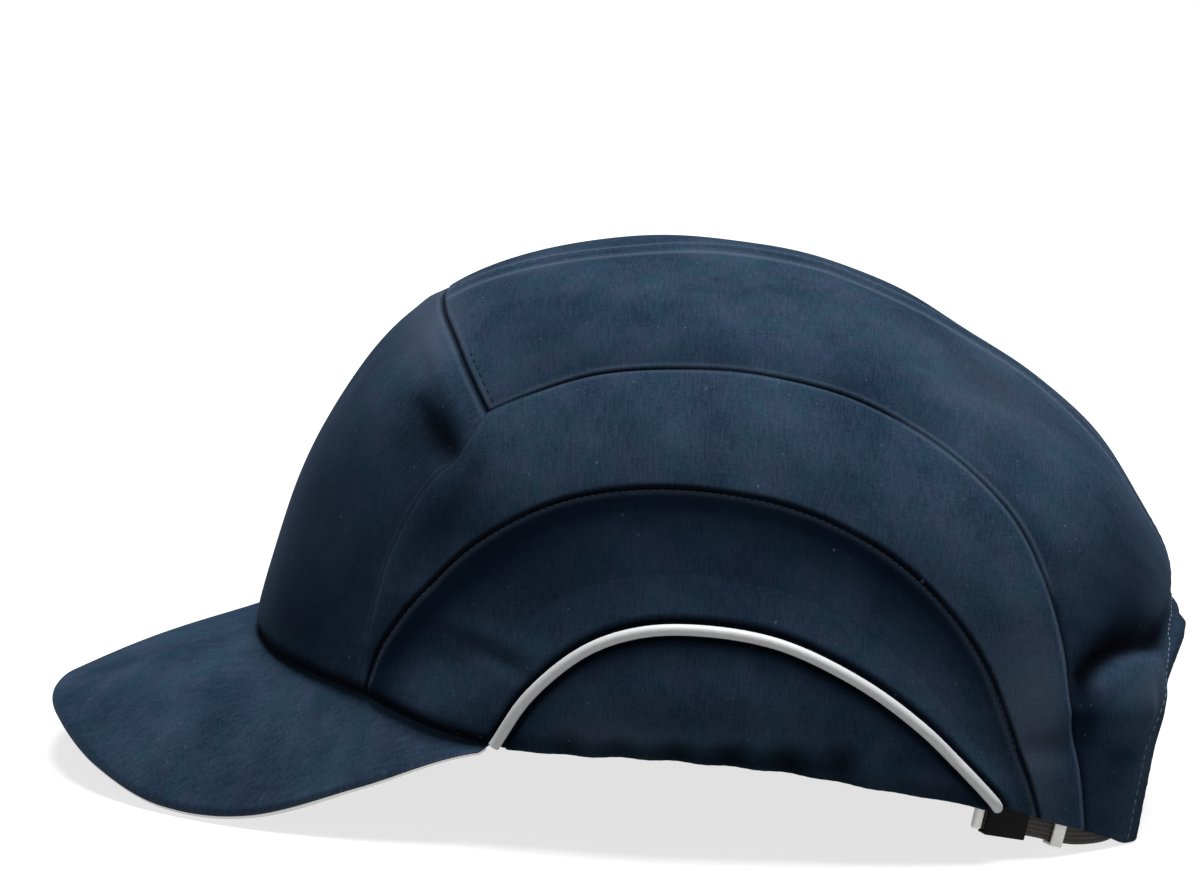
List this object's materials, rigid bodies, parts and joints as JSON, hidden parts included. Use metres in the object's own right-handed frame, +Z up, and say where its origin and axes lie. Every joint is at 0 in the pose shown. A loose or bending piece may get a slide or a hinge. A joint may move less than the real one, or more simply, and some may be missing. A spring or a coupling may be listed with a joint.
{
  "type": "baseball bump cap",
  "caption": "Navy cloth bump cap with a short peak, curved side panels edged in pale piping, and a strapped opening at the nape.",
  "frame": {"origin": "middle of the overall box, on the surface that the cap rests on", "axes": "+X to the wearer's left, +Y to the rear of the cap, +Z up; the peak points to -Y"},
  "size_m": [0.1732, 0.2622, 0.1243],
  "materials": {
    "navy_cloth": "matt cotton twill",
    "grey_piping": "smooth piping cord",
    "grey_edge": "pale cloth edge",
    "grey_webbing": "ribbed webbing",
    "black_plastic": "moulded plastic",
    "white_plastic": "moulded plastic"
  },
  "bodies": {
    "root": {"front_panel": "navy_cloth", "crown_panel_left": "navy_cloth", "crown_panel_right": "navy_cloth", "arch_panel_left": "navy_cloth", "arch_panel_right": "navy_cloth", "side_panel_left": "navy_cloth", "side_panel_right": "navy_cloth", "ear_panel_left": "navy_cloth", "ear_panel_right": "navy_cloth", "piping_left": "grey_piping", "piping_right": "grey_piping", "peak": "navy_cloth", "peak_trim": "grey_edge", "rear_strap": "grey_webbing", "strap_slider": "black_plastic", "strap_keeper": "white_plastic", "strap_tab": "white_plastic"}
  },
  "joints": []
}
